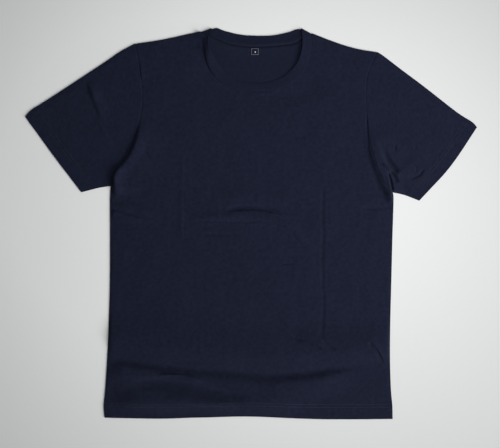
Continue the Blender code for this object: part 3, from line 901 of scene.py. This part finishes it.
def sleeve(name, top, underarm, armhole, cuff):
    """A sleeve as a flattened tube with a rounded cuff and a groove at its seam."""
    close = np.array(FOLD_SHARES)
    across = np.unique(np.concatenate((np.linspace(0.0, 1.0, SLEEVE_ACROSS), close, 1 - close)))
    rings, to_cuff = sleeve_rings(top, underarm, armhole, cuff, across)
    heights = np.split(rise(np.vstack(rings)), len(rings))
    cuff_track = track(smooth(cuff))
    outer, inner, cloth_map = [], [], []
    for flat, distance, lift in zip(rings, to_cuff, heights):
        from_cuff = nearest(flat, cuff_track)[0]
        extra = turned_up(from_cuff, CUFF_DEPTH, CUFF_RIDGE)
        thickness = CLOTH + extra
        high = 2 * (WALL + extra) + GAP + lift
        groove = SEAM_DIP * seam_groove(to_cuff[0] - distance)
        shrink = thickness * (1 - rim_share(from_cuff, thickness)) / 2
        outer.append(tube_section(flat, shrink, high - shrink - groove))
        inner.append(tube_section(flat, thickness - shrink, high - thickness + shrink))
        widths = length_along(np.array(outer[-1])[:, :2])
        cloth_map.append(np.column_stack((widths, np.full(len(widths), distance))))
    vertices = [point for walls in (outer, inner) for ring in walls for point in ring]
    size = len(outer[0])
    last = (len(outer) - 1) * size
    inside = last + size
    faces = bridge(0, inside, size) + bridge(last, inside + last, size)
    second = [0] * len(faces)
    for start in range(0, last, size):
        faces += bridge(start, start + size, size)
        second += [0] * size
        faces += bridge(inside + start, inside + start + size, size)
        second += [1] * size
    cloth_map = np.vstack(cloth_map)
    piece = cloth_mesh(name, vertices, faces, np.vstack((cloth_map, cloth_map)),
                       (JERSEY, JERSEY_INSIDE), second)
    face_outward(piece)
    return piece


SLEEVES = {
    "left": (LEFT_SLEEVE_TOP, LEFT_UNDERARM, LEFT_ARMHOLE, LEFT_CUFF),
    "right": (RIGHT_SLEEVE_TOP, RIGHT_UNDERARM, RIGHT_ARMHOLE, RIGHT_CUFF),
}
sleeve_cloths = {}
for side, edges in SLEEVES.items():
    sleeve_cloths[side] = sleeve(f"{side}_sleeve_cloth", *edges)
    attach(sleeve_cloths[side], "root")
    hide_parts(f"{side}_sleeve")


# ---------------------------------------------------------------------------
# Neckband: a strip of one-by-one rib, folded double along its free edge, joined
# into a ring and sewn round the neckline. It stands a little proud on the left.

BAND_HALF = 0.55
BAND_SEWN_SHARE = 0.8
BAND_SEWN_REACH = 1.6
BAND_BACK_HEIGHT = 0.9
SEAM_OVER_BACK = 1.0
RIB_PITCH = 1.9
RIB_HEIGHT = 0.10
RIB_SEAM_FADE = 2.0
RIB_FOLD_FADE = 1.5
RIB_FOLD_SHARE = 0.35
RIB_SAMPLES = 6
RIB_WALE = 0.95
RIB_DEPTH = 0.08
TURN_STATIONS = 24
FRONT_OPENING = (
    (92.6, 358.1),
    (94.4, 337.0),
    (92.4, 317.0),
    (85.0, 296.0),
    (67.0, 277.0),
    (45.0, 265.0),
    (20.0, 259.8),
    (-10.0, 261.0),
    (-33.0, 267.4),
    (-54.0, 284.0),
    (-69.0, 307.0),
    (-77.0, 327.0),
    (-77.0, 343.0),
    (-72.0, 358.1),
)
BACK_OPENING = (
    (-72.0, 358.1),
    (-62.0, 359.8),
    (-48.0, 354.6),
    (-20.0, 348.0),
    (10.0, 345.8),
    (40.0, 346.6),
    (68.0, 352.2),
    (83.0, 357.4),
    (92.6, 358.1),
)

# How the front of the band stands. Columns: share of the way round, height of the
# middle of its free edge, swelling beside its seam and how far from the seam it is
# highest, taper of its free edge.
BAND_SHAPE = (
    (0.00, 2.6, 0.0, 3.0, 0.6),
    (0.06, 5.8, 0.1, 3.0, 0.6),
    (0.14, 6.2, 0.1, 3.0, 0.6),
    (0.21, 3.7, 0.1, 3.0, 0.8),
    (0.28, 2.1, 0.1, 3.0, 2.0),
    (0.34, 1.4, 0.1, 3.0, 3.5),
    (0.40, 1.1, 0.1, 3.0, 4.5),
    (0.60, 1.1, 0.1, 3.0, 4.5),
    (0.70, 1.4, 0.0, 3.0, 4.0),
    (0.78, 3.4, 1.2, 4.0, 2.0),
    (0.86, 6.8, 3.0, 7.0, 0.8),
    (0.93, 7.4, 1.2, 6.0, 0.6),
    (1.00, 3.0, 0.0, 3.0, 0.6),
)
BACK_SWELLING = 2.2
BACK_SWELLING_REACH = 3.0
BACK_SWELLING_FADE = 0.1
BAND_TAPER = 0.6

# Distances from the band's fold and from its seam at which its section has points.
BAND_FOLD_STEPS = (0.0, 0.08, 0.25, 0.5, 0.8, 1.2, 2.0)
BAND_SEAM_STEPS = (2.6, 1.4, 0.7, 0.25, 0.0)
BAND_MIDDLE_STEPS = 4


def band_section(opening, seam, angle, swelling, reach, taper, around):
    """Corners of the folded rib across the band, turned about its own width."""
    across = seam - opening
    width = np.linalg.norm(across)
    across /= width
    up = np.array((0.0, 0.0, 1.0)) - across[2] * across
    up /= np.linalg.norm(up)
    out = np.cross(across, up)
    out *= 1.0 if out[1] > 0 else -1.0
    normal = math.cos(angle) * up + math.sin(angle) * out
    between = np.linspace(BAND_FOLD_STEPS[-1], width - BAND_SEAM_STEPS[0], BAND_MIDDLE_STEPS + 2)
    steps = np.concatenate((BAND_FOLD_STEPS, between[1:-1], width - np.array(BAND_SEAM_STEPS)))
    from_seam = width - steps
    folded = rounding(steps / taper)
    sewn = BAND_SEWN_SHARE + (1 - BAND_SEWN_SHARE) * rounding(from_seam / BAND_SEWN_REACH)
    rib = RIB_HEIGHT * math.cos(2 * math.pi * around / RIB_PITCH) * ease(from_seam / RIB_SEAM_FADE)
    rib *= RIB_FOLD_SHARE + (1 - RIB_FOLD_SHARE) * ease(steps / RIB_FOLD_FADE)
    half = (BAND_HALF * sewn + rib) * folded
    lift = swelling * swell(from_seam, reach)
    lift -= (1 - BAND_TAPER / taper) * BAND_HALF * (1 - folded)
    middle = opening + steps[:, None] * across + lift[:, None] * up
    face = middle + half[:, None] * normal
    back = middle - half[:, None] * normal
    return [*face[::-1], *back[1:]], np.concatenate((steps[::-1], -steps[1:]))


def band_turn(opening, seam, angles):
    """Edges of the band where it folds over at one end of the shoulders."""
    across = (seam - opening)[:2]
    out = np.array((-across[1], across[0]))
    out *= (1.0 if out[1] > 0 else -1.0) / np.linalg.norm(out)
    edges = []
    for angle in angles:
        ends = []
        for front in (opening, seam):
            middle = (front[2] + BAND_BACK_HEIGHT) / 2
            radius = (front[2] - BAND_BACK_HEIGHT) / 2
            flat = front[:2] + radius * math.sin(angle) * out
            ends.append(np.array((*flat, middle + radius * math.cos(angle))))
        edges.append((*ends, angle, 0.0, BACK_SWELLING_REACH, BAND_TAPER))
    return edges


def neckband():
    """The ribbed ring: front half, left turn, back half and right turn."""
    step = RIB_PITCH / RIB_SAMPLES
    front_count = round(length_along(smooth(FRONT_SEAM))[-1] / step)
    back_count = round(length_along(smooth(BACK_SEAM))[-1] / step)
    shares = np.linspace(0.0, 1.0, front_count)
    table = smooth(BAND_SHAPE)
    heights, *standing = [np.interp(shares, table[:, 0], column) for column in table.T[1:]]
    front_in = at_shares(smooth(FRONT_OPENING), shares)
    front_out = at_shares(smooth(FRONT_SEAM), shares)
    front_in = np.column_stack((front_in, heights))
    seam_heights = front_faces(front_out)[1] - BAND_SEWN_SHARE * BAND_HALF
    seam_heights = np.maximum(seam_heights, BAND_BACK_HEIGHT + SEAM_OVER_BACK)
    front_out = np.column_stack((front_out, seam_heights))
    edges = [(inner, outer, 0.0, *values)
             for inner, outer, *values in zip(front_in, front_out, *standing)]
    angles = np.linspace(0.0, math.pi, TURN_STATIONS + 2)[1:-1]
    edges += band_turn(front_in[-1], front_out[-1], angles)
    shares = np.linspace(0.0, 1.0, back_count)
    back_in = at_shares(smooth(BACK_OPENING), shares)
    back_out = at_shares(smooth(BACK_SEAM), shares)
    swellings = BACK_SWELLING * ease(np.minimum(shares, 1 - shares) / BACK_SWELLING_FADE)
    edges += [(np.array((*inner, BAND_BACK_HEIGHT)), np.array((*outer, BAND_BACK_HEIGHT)), math.pi,
               swelling, BACK_SWELLING_REACH, BAND_TAPER)
              for inner, outer, swelling in zip(back_in, back_out, swellings)]
    edges += band_turn(front_in[0], front_out[0], angles[::-1])
    middles = np.array([(opening + seam) / 2 for opening, seam, *_ in edges])
    around = length_along(middles)
    around *= round(around[-1] / RIB_PITCH) * RIB_PITCH / around[-1]
    vertices, faces, cloth_map = [], [], []
    for edge, place in zip(edges, around):
        section, steps = band_section(*edge, place)
        vertices += section
        cloth_map += [(place, step) for step in steps]
    size = len(section)
    for station in range(len(edges)):
        following = (station + 1) % len(edges)
        faces += bridge(station * size, following * size, size)
    piece = cloth_mesh("rib_neckband", vertices, faces, cloth_map, (RIB,))
    face_outward(piece)
    return piece


RIB = knit_material("navy_rib", INSIDE_DARK, INSIDE_LIGHT, RIB_WALE, COURSE, FACE_SLANT, RIB_DEPTH)
rib_neckband = neckband()
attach(rib_neckband, "root")
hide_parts("neckband")


# ---------------------------------------------------------------------------
# Size label: a small woven rectangle with a pale border, sewn to the inside of the
# back panel just under the band. Its middle carries only a plain woven mark.

LABEL_CENTRE = (7.2, 316.2)
LABEL_SIZE = (14.7, 13.0)
LABEL_THICK = 0.5
LABEL_CLEAR = 0.1
LABEL_BORDER = (0.7, 1.6)
LABEL_DARK = (0.004, 0.005, 0.012)
LABEL_EDGE = (0.135, 0.140, 0.215)
LABEL_PALE = (0.60, 0.61, 0.68)
MARK_PLACE = (0.7, -0.9)
MARK_SIZE = (1.8, 2.6)
LABEL_GRID = 40
LABEL_RIM_SHARE = 0.35
LABEL_ROUNDING = 0.5
LABEL_BOW = 0.15
LABEL_WEAVE = 700.0
LABEL_LEAST_GLEAM = 0.7
LABEL_BUMP = 0.4
LABEL_DEPTH = 0.05
LABEL_LOOK = {"Roughness": 0.55, "Specular IOR Level": 0.12}


def label_material():
    """Fine satin weave, dark, with a pale border and a plain pale mark."""
    material, tree, shader = new_material("woven_label", LABEL_LOOK)
    cloth = cloth_place(tree)
    split = tree.nodes.new("ShaderNodeSeparateXYZ")
    link(tree, cloth, split.inputs[0])
    halves = [size / 2 * MM for size in LABEL_SIZE]
    to_side = [math_node(tree, "SUBTRACT", half, math_node(tree, "ABSOLUTE", split.outputs[axis]))
               for axis, half in enumerate(halves)]
    edge = math_node(tree, "MINIMUM", *to_side)
    outside = math_node(tree, "GREATER_THAN", edge, LABEL_BORDER[0] * MM)
    inside = math_node(tree, "LESS_THAN", edge, LABEL_BORDER[1] * MM)
    border = math_node(tree, "MULTIPLY", outside, inside)
    in_mark = []
    for axis, (place, size) in enumerate(zip(MARK_PLACE, MARK_SIZE)):
        away = math_node(tree, "SUBTRACT", split.outputs[axis], place * MM)
        away = math_node(tree, "ABSOLUTE", away)
        in_mark.append(math_node(tree, "LESS_THAN", away, size / 2 * MM))
    mark = math_node(tree, "MULTIPLY", *in_mark)
    threads = tree.nodes.new("ShaderNodeTexWave")
    threads.inputs["Scale"].default_value = LABEL_WEAVE
    threads.inputs["Distortion"].default_value = 1.0
    link(tree, cloth, threads.inputs["Vector"])
    weave = threads.outputs["Fac"]
    gleam = math_node(tree, "MULTIPLY", weave, 1 - LABEL_LEAST_GLEAM)
    gleam = math_node(tree, "ADD", gleam, LABEL_LEAST_GLEAM)
    ground = mix_colours(tree, math_node(tree, "MULTIPLY", border, gleam), LABEL_DARK, LABEL_EDGE)
    tone = mix_colours(tree, math_node(tree, "MULTIPLY", mark, gleam), ground, LABEL_PALE)
    link(tree, tone, shader.inputs["Base Color"])
    link(tree, bumped(tree, weave, LABEL_BUMP, LABEL_DEPTH), shader.inputs["Normal"])
    return material


def neck_label():
    """The label's thin block, slightly bowed, with rounded edges."""
    half = np.array(LABEL_SIZE) / 2
    lines = np.sin(np.linspace(-math.pi / 2, math.pi / 2, LABEL_GRID))
    vertices, cloth_map = [], []
    for face in (1, 0):
        for v in lines:
            for u in lines:
                x, y = half * (u, v)
                to_edge = min(half[0] - abs(x), half[1] - abs(y))
                share = float(rounding(to_edge / LABEL_ROUNDING))
                thick = LABEL_THICK * (LABEL_RIM_SHARE + (1 - LABEL_RIM_SHARE) * share)
                bow = LABEL_BOW * (1 - u * u) * (1 - v * v)
                place = np.array([(LABEL_CENTRE[0] + x, LABEL_CENTRE[1] + y)])
                low = back_faces(place)[1][0] + LABEL_CLEAR
                vertices.append((*place[0], low + bow + face * thick))
                cloth_map.append((x, y))
    faces = []
    count = LABEL_GRID * LABEL_GRID
    for row in range(LABEL_GRID - 1):
        for column in range(LABEL_GRID - 1):
            a = row * LABEL_GRID + column
            square = (a, a + 1, a + LABEL_GRID + 1, a + LABEL_GRID)
            faces.append(square)
            faces.append(tuple(count + spot for spot in reversed(square)))
    last = LABEL_GRID - 1
    rim = list(range(last))
    rim += [spot * LABEL_GRID + last for spot in range(last)]
    rim += [last * LABEL_GRID + last - spot for spot in range(last)]
    rim += [(last - spot) * LABEL_GRID for spot in range(last)]
    faces += [(b, a, a + count, b + count) for a, b in zip(rim, rim[1:] + rim[:1])]
    return cloth_mesh("size_label", vertices, faces, cloth_map, (label_material(),))


size_label = neck_label()
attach(size_label, "root")
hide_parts("neck_label")


# ---------------------------------------------------------------------------
# Stitching: twin rows of navy thread hold the turned hem and cuffs, on the upper
# and the lower side. Each visible stitch is one short thread lying in the cloth.

STITCH_LENGTH = 2.9
STITCH_PITCH = 3.3
STITCH_WIDTH = 0.55
STITCH_UNEVEN = (0.92, 1.06)
STITCH_SEED = 7
STITCH_LIFT = 0.05
CUFF_STITCH_SINK = 0.19
HEM_ROWS = (22.2, 27.6)
CUFF_ROWS = (20.0, 25.4)
ROW_STEP = 2.0
ROW_TRIM = 3
THREAD_DARK = (0.0095, 0.0120, 0.0260)
THREAD_LIGHT = (0.0165, 0.0195, 0.0390)
THREAD_LOOK = {"Roughness": 0.6}
TWIST_SCALE = 900.0
FIBRE_SCALE = 4000.0
THREAD_BUMP = 0.5
THREAD_DEPTH = 0.08


def stitch_tree():
    """Geometry nodes: thread segments along an edge path, one a stitch."""
    tree = bpy.data.node_groups.new("stitch_row", "GeometryNodeTree")
    tree.interface.new_socket("Geometry", in_out="INPUT", socket_type="NodeSocketGeometry")
    for name in ("Pitch", "Length", "Width"):
        tree.interface.new_socket(name, in_out="INPUT", socket_type="NodeSocketFloat")
    tree.interface.new_socket("Thread", in_out="INPUT", socket_type="NodeSocketMaterial")
    tree.interface.new_socket("Geometry", in_out="OUTPUT", socket_type="NodeSocketGeometry")
    source = tree.nodes.new("NodeGroupInput")
    result = tree.nodes.new("NodeGroupOutput")
    curve = tree.nodes.new("GeometryNodeMeshToCurve")
    resample = tree.nodes.new("GeometryNodeResampleCurve")
    resample.mode = "LENGTH"
    align = tree.nodes.new("FunctionNodeAlignRotationToVector")
    align.axis = "X"
    ball = tree.nodes.new("GeometryNodeMeshUVSphere")
    ball.inputs["Segments"].default_value = 8
    ball.inputs["Rings"].default_value = 6
    ball.inputs["Radius"].default_value = 0.5
    shape = tree.nodes.new("ShaderNodeCombineXYZ")
    wobble = tree.nodes.new("FunctionNodeRandomValue")
    wobble.data_type = "FLOAT"
    wobble.inputs[2].default_value = STITCH_UNEVEN[0]
    wobble.inputs[3].default_value = STITCH_UNEVEN[1]
    wobble.inputs["Seed"].default_value = STITCH_SEED
    length = tree.nodes.new("ShaderNodeMath")
    length.operation = "MULTIPLY"
    place = tree.nodes.new("GeometryNodeInstanceOnPoints")
    points = tree.nodes.new("GeometryNodeCurveToPoints")
    points.mode = "EVALUATED"
    realize = tree.nodes.new("GeometryNodeRealizeInstances")
    smooth_faces = tree.nodes.new("GeometryNodeSetShadeSmooth")
    finish = tree.nodes.new("GeometryNodeSetMaterial")
    link(tree, source.outputs["Geometry"], curve.inputs[0])
    link(tree, curve.outputs[0], resample.inputs["Curve"])
    link(tree, source.outputs["Pitch"], resample.inputs["Length"])
    link(tree, resample.outputs[0], points.inputs["Curve"])
    link(tree, points.outputs["Points"], place.inputs["Points"])
    link(tree, points.outputs["Tangent"], align.inputs["Vector"])
    link(tree, align.outputs[0], place.inputs["Rotation"])
    link(tree, ball.outputs["Mesh"], place.inputs["Instance"])
    link(tree, wobble.outputs[1], length.inputs[0])
    link(tree, source.outputs["Length"], length.inputs[1])
    link(tree, length.outputs[0], shape.inputs[0])
    link(tree, source.outputs["Width"], shape.inputs[1])
    link(tree, source.outputs["Width"], shape.inputs[2])
    link(tree, shape.outputs[0], place.inputs["Scale"])
    link(tree, place.outputs[0], realize.inputs[0])
    link(tree, realize.outputs[0], smooth_faces.inputs[0])
    link(tree, smooth_faces.outputs[0], finish.inputs["Geometry"])
    link(tree, source.outputs["Thread"], finish.inputs["Material"])
    link(tree, finish.outputs[0], result.inputs[0])
    return tree


STITCH_TREE = stitch_tree()


def thread_material():
    """Spun sewing thread, a little paler and smoother than the cloth."""
    material, tree, shader = new_material("navy_thread", THREAD_LOOK)
    place = tree.nodes.new("ShaderNodeTexCoord").outputs["Object"]
    twist = noise_node(tree, place, TWIST_SCALE, detail=2.0)
    link(tree, mix_colours(tree, twist, THREAD_DARK, THREAD_LIGHT), shader.inputs["Base Color"])
    fibres = noise_node(tree, place, FIBRE_SCALE, detail=1.0)
    link(tree, bumped(tree, fibres, THREAD_BUMP, THREAD_DEPTH), shader.inputs["Normal"])
    return material


THREAD = thread_material()


def stitch_rows(name, rows):
    """One plain mesh of the stitches along rows of points, going with their cloth."""
    mesh = bpy.data.meshes.new(name)
    points, edges = [], []
    for row in rows:
        edges += [(len(points) + spot, len(points) + spot + 1) for spot in range(len(row) - 1)]
        points += [Vector(place) * MM for place in row]
    mesh.from_pydata(points, edges, [])
    path = placed(f"{name}_path", mesh)
    modifier = path.modifiers.new("stitches", "NODES")
    modifier.node_group = STITCH_TREE
    values = {"Pitch": STITCH_PITCH * MM, "Length": STITCH_LENGTH * MM,
              "Width": STITCH_WIDTH * MM, "Thread": THREAD}
    for item in STITCH_TREE.interface.items_tree:
        if item.in_out == "INPUT" and item.name in values:
            modifier[item.identifier] = values[item.name]
    path.update_tag()
    state = bpy.context.evaluated_depsgraph_get()
    sewn = bpy.data.meshes.new_from_object(path.evaluated_get(state))
    path.modifiers.remove(modifier)
    bpy.data.objects.remove(path)
    sewn.name = name
    piece = placed(name, sewn)
    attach(piece, "root")
    return piece


def inset_row(edge, inset):
    """Points along a line beside an edge, inset to its left or, below 0, to its right."""
    points = evenly(smooth(edge), ROW_STEP)
    points = points + inset * sideways(points)
    return points[ROW_TRIM:-ROW_TRIM]


hem_paths = [inset_row(HEM, depth) for depth in HEM_ROWS]
front_hem_rows = [np.column_stack((path, front_faces(path)[1] + STITCH_LIFT)) for path in hem_paths]
back_hem_rows = [np.column_stack((path, back_faces(path)[0] + STITCH_WIDTH / 2))
                 for path in hem_paths]
front_stitches = stitch_rows("front_hem_stitches", front_hem_rows)
back_stitches = stitch_rows("back_hem_stitches", back_hem_rows)
for side, edges in SLEEVES.items():
    upper, lower = [], []
    for depth in CUFF_ROWS:
        path = inset_row(edges[-1], depth if side == "left" else -depth)
        high = 2 * (WALL + turned_up(depth, CUFF_DEPTH, CUFF_RIDGE)) + GAP + rise(path)
        upper.append(np.column_stack((path, high - CUFF_STITCH_SINK)))
        lower.append(np.column_stack((path, np.full(len(path), STITCH_WIDTH / 2))))
    cuff_stitches = stitch_rows(f"{side}_cuff_stitches", upper + lower)


# ---------------------------------------------------------------------------
# Table, light and camera: a pale table with a painted falloff of light on it, a broad
# soft light from the lower right, a weak lamp over the right side, even light from the
# room, and the camera straight above the shirt.

VIEW_WIDTH = 0.92
VIEW_CENTRE = (-0.00184, -0.00092)
VIEW_LEVEL = 0.002
LENS = 50.0
SENSOR = 36.0
TABLE_HALF = 3.0
TABLE_DROP = 0.0002
TABLE_LOOK = {"Roughness": 0.6}
# Painted falloff of light: the table's colour goes from the pale one at a centre to a deeper one further
# off.
TABLE_PALE = (0.90, 0.91, 0.90)
TABLE_PAINTED_SHADE = (0.63, 0.635, 0.63)
PAINTED_LIGHT_CENTRE = (-0.16, 0.08, 0.0)
PAINTED_FALLOFF_START = 0.30
PAINTED_FALLOFF_END = 0.80
ROOM_COLOUR = (0.93, 0.95, 1.0, 1.0)
ROOM_STRENGTH = 0.14

# Columns: name, place, size, power and the point that the light faces.
LIGHTS = (
    ("window", (3.0, -1.87, 1.8), 2.4, 172.0, (0.0, 0.0, 0.0)),
    ("lamp", (0.26, 0.15, 0.85), 0.5, 3.2, (0.26, 0.15, 0.0)),
)


def table_top():
    """A wide pale board with painted falloff of light: its colour darkens softly away from one place."""
    mesh = bpy.data.meshes.new("table")
    corners = [(x * TABLE_HALF, y * TABLE_HALF, 0.0) for x, y in ((-1, -1), (1, -1), (1, 1), (-1, 1))]
    mesh.from_pydata(corners, [], [(0, 1, 2, 3)])
    material, tree, shader = new_material("pale_table", TABLE_LOOK)
    away = tree.nodes.new("ShaderNodeVectorMath")
    away.operation = "DISTANCE"
    away.inputs[1].default_value = PAINTED_LIGHT_CENTRE
    link(tree, tree.nodes.new("ShaderNodeTexCoord").outputs["Object"], away.inputs[0])
    share = math_node(tree, "SUBTRACT", away.outputs["Value"], PAINTED_FALLOFF_START)
    share = math_node(tree, "DIVIDE", share, PAINTED_FALLOFF_END - PAINTED_FALLOFF_START, clamp=True)
    link(tree, mix_colours(tree, share, TABLE_PALE, TABLE_PAINTED_SHADE), shader.inputs["Base Color"])
    mesh.materials.append(material)
    board = placed("table", mesh)
    board.location = (0.0, 0.0, -TABLE_DROP)


table_top()
for name, place, size, power, target in LIGHTS:
    light_data = bpy.data.lights.new(name, "AREA")
    light_data.size = size
    light_data.energy = power
    light = placed(name, light_data)
    light.location = place
    light.rotation_euler = (Vector(place) - Vector(target)).to_track_quat("Z", "Y").to_euler()
world = bpy.data.worlds.new("room")
world.use_nodes = True
background = world.node_tree.nodes["Background"]
background.inputs["Color"].default_value = ROOM_COLOUR
background.inputs["Strength"].default_value = ROOM_STRENGTH
bpy.context.scene.world = world
bpy.context.scene.view_settings.view_transform = "Standard"

lens_data = bpy.data.cameras.new("camera")
lens_data.lens = LENS
lens_data.sensor_width = SENSOR
camera = placed("camera", lens_data)
camera.location = (*VIEW_CENTRE, VIEW_WIDTH * LENS / SENSOR + VIEW_LEVEL)
bpy.context.scene.camera = camera
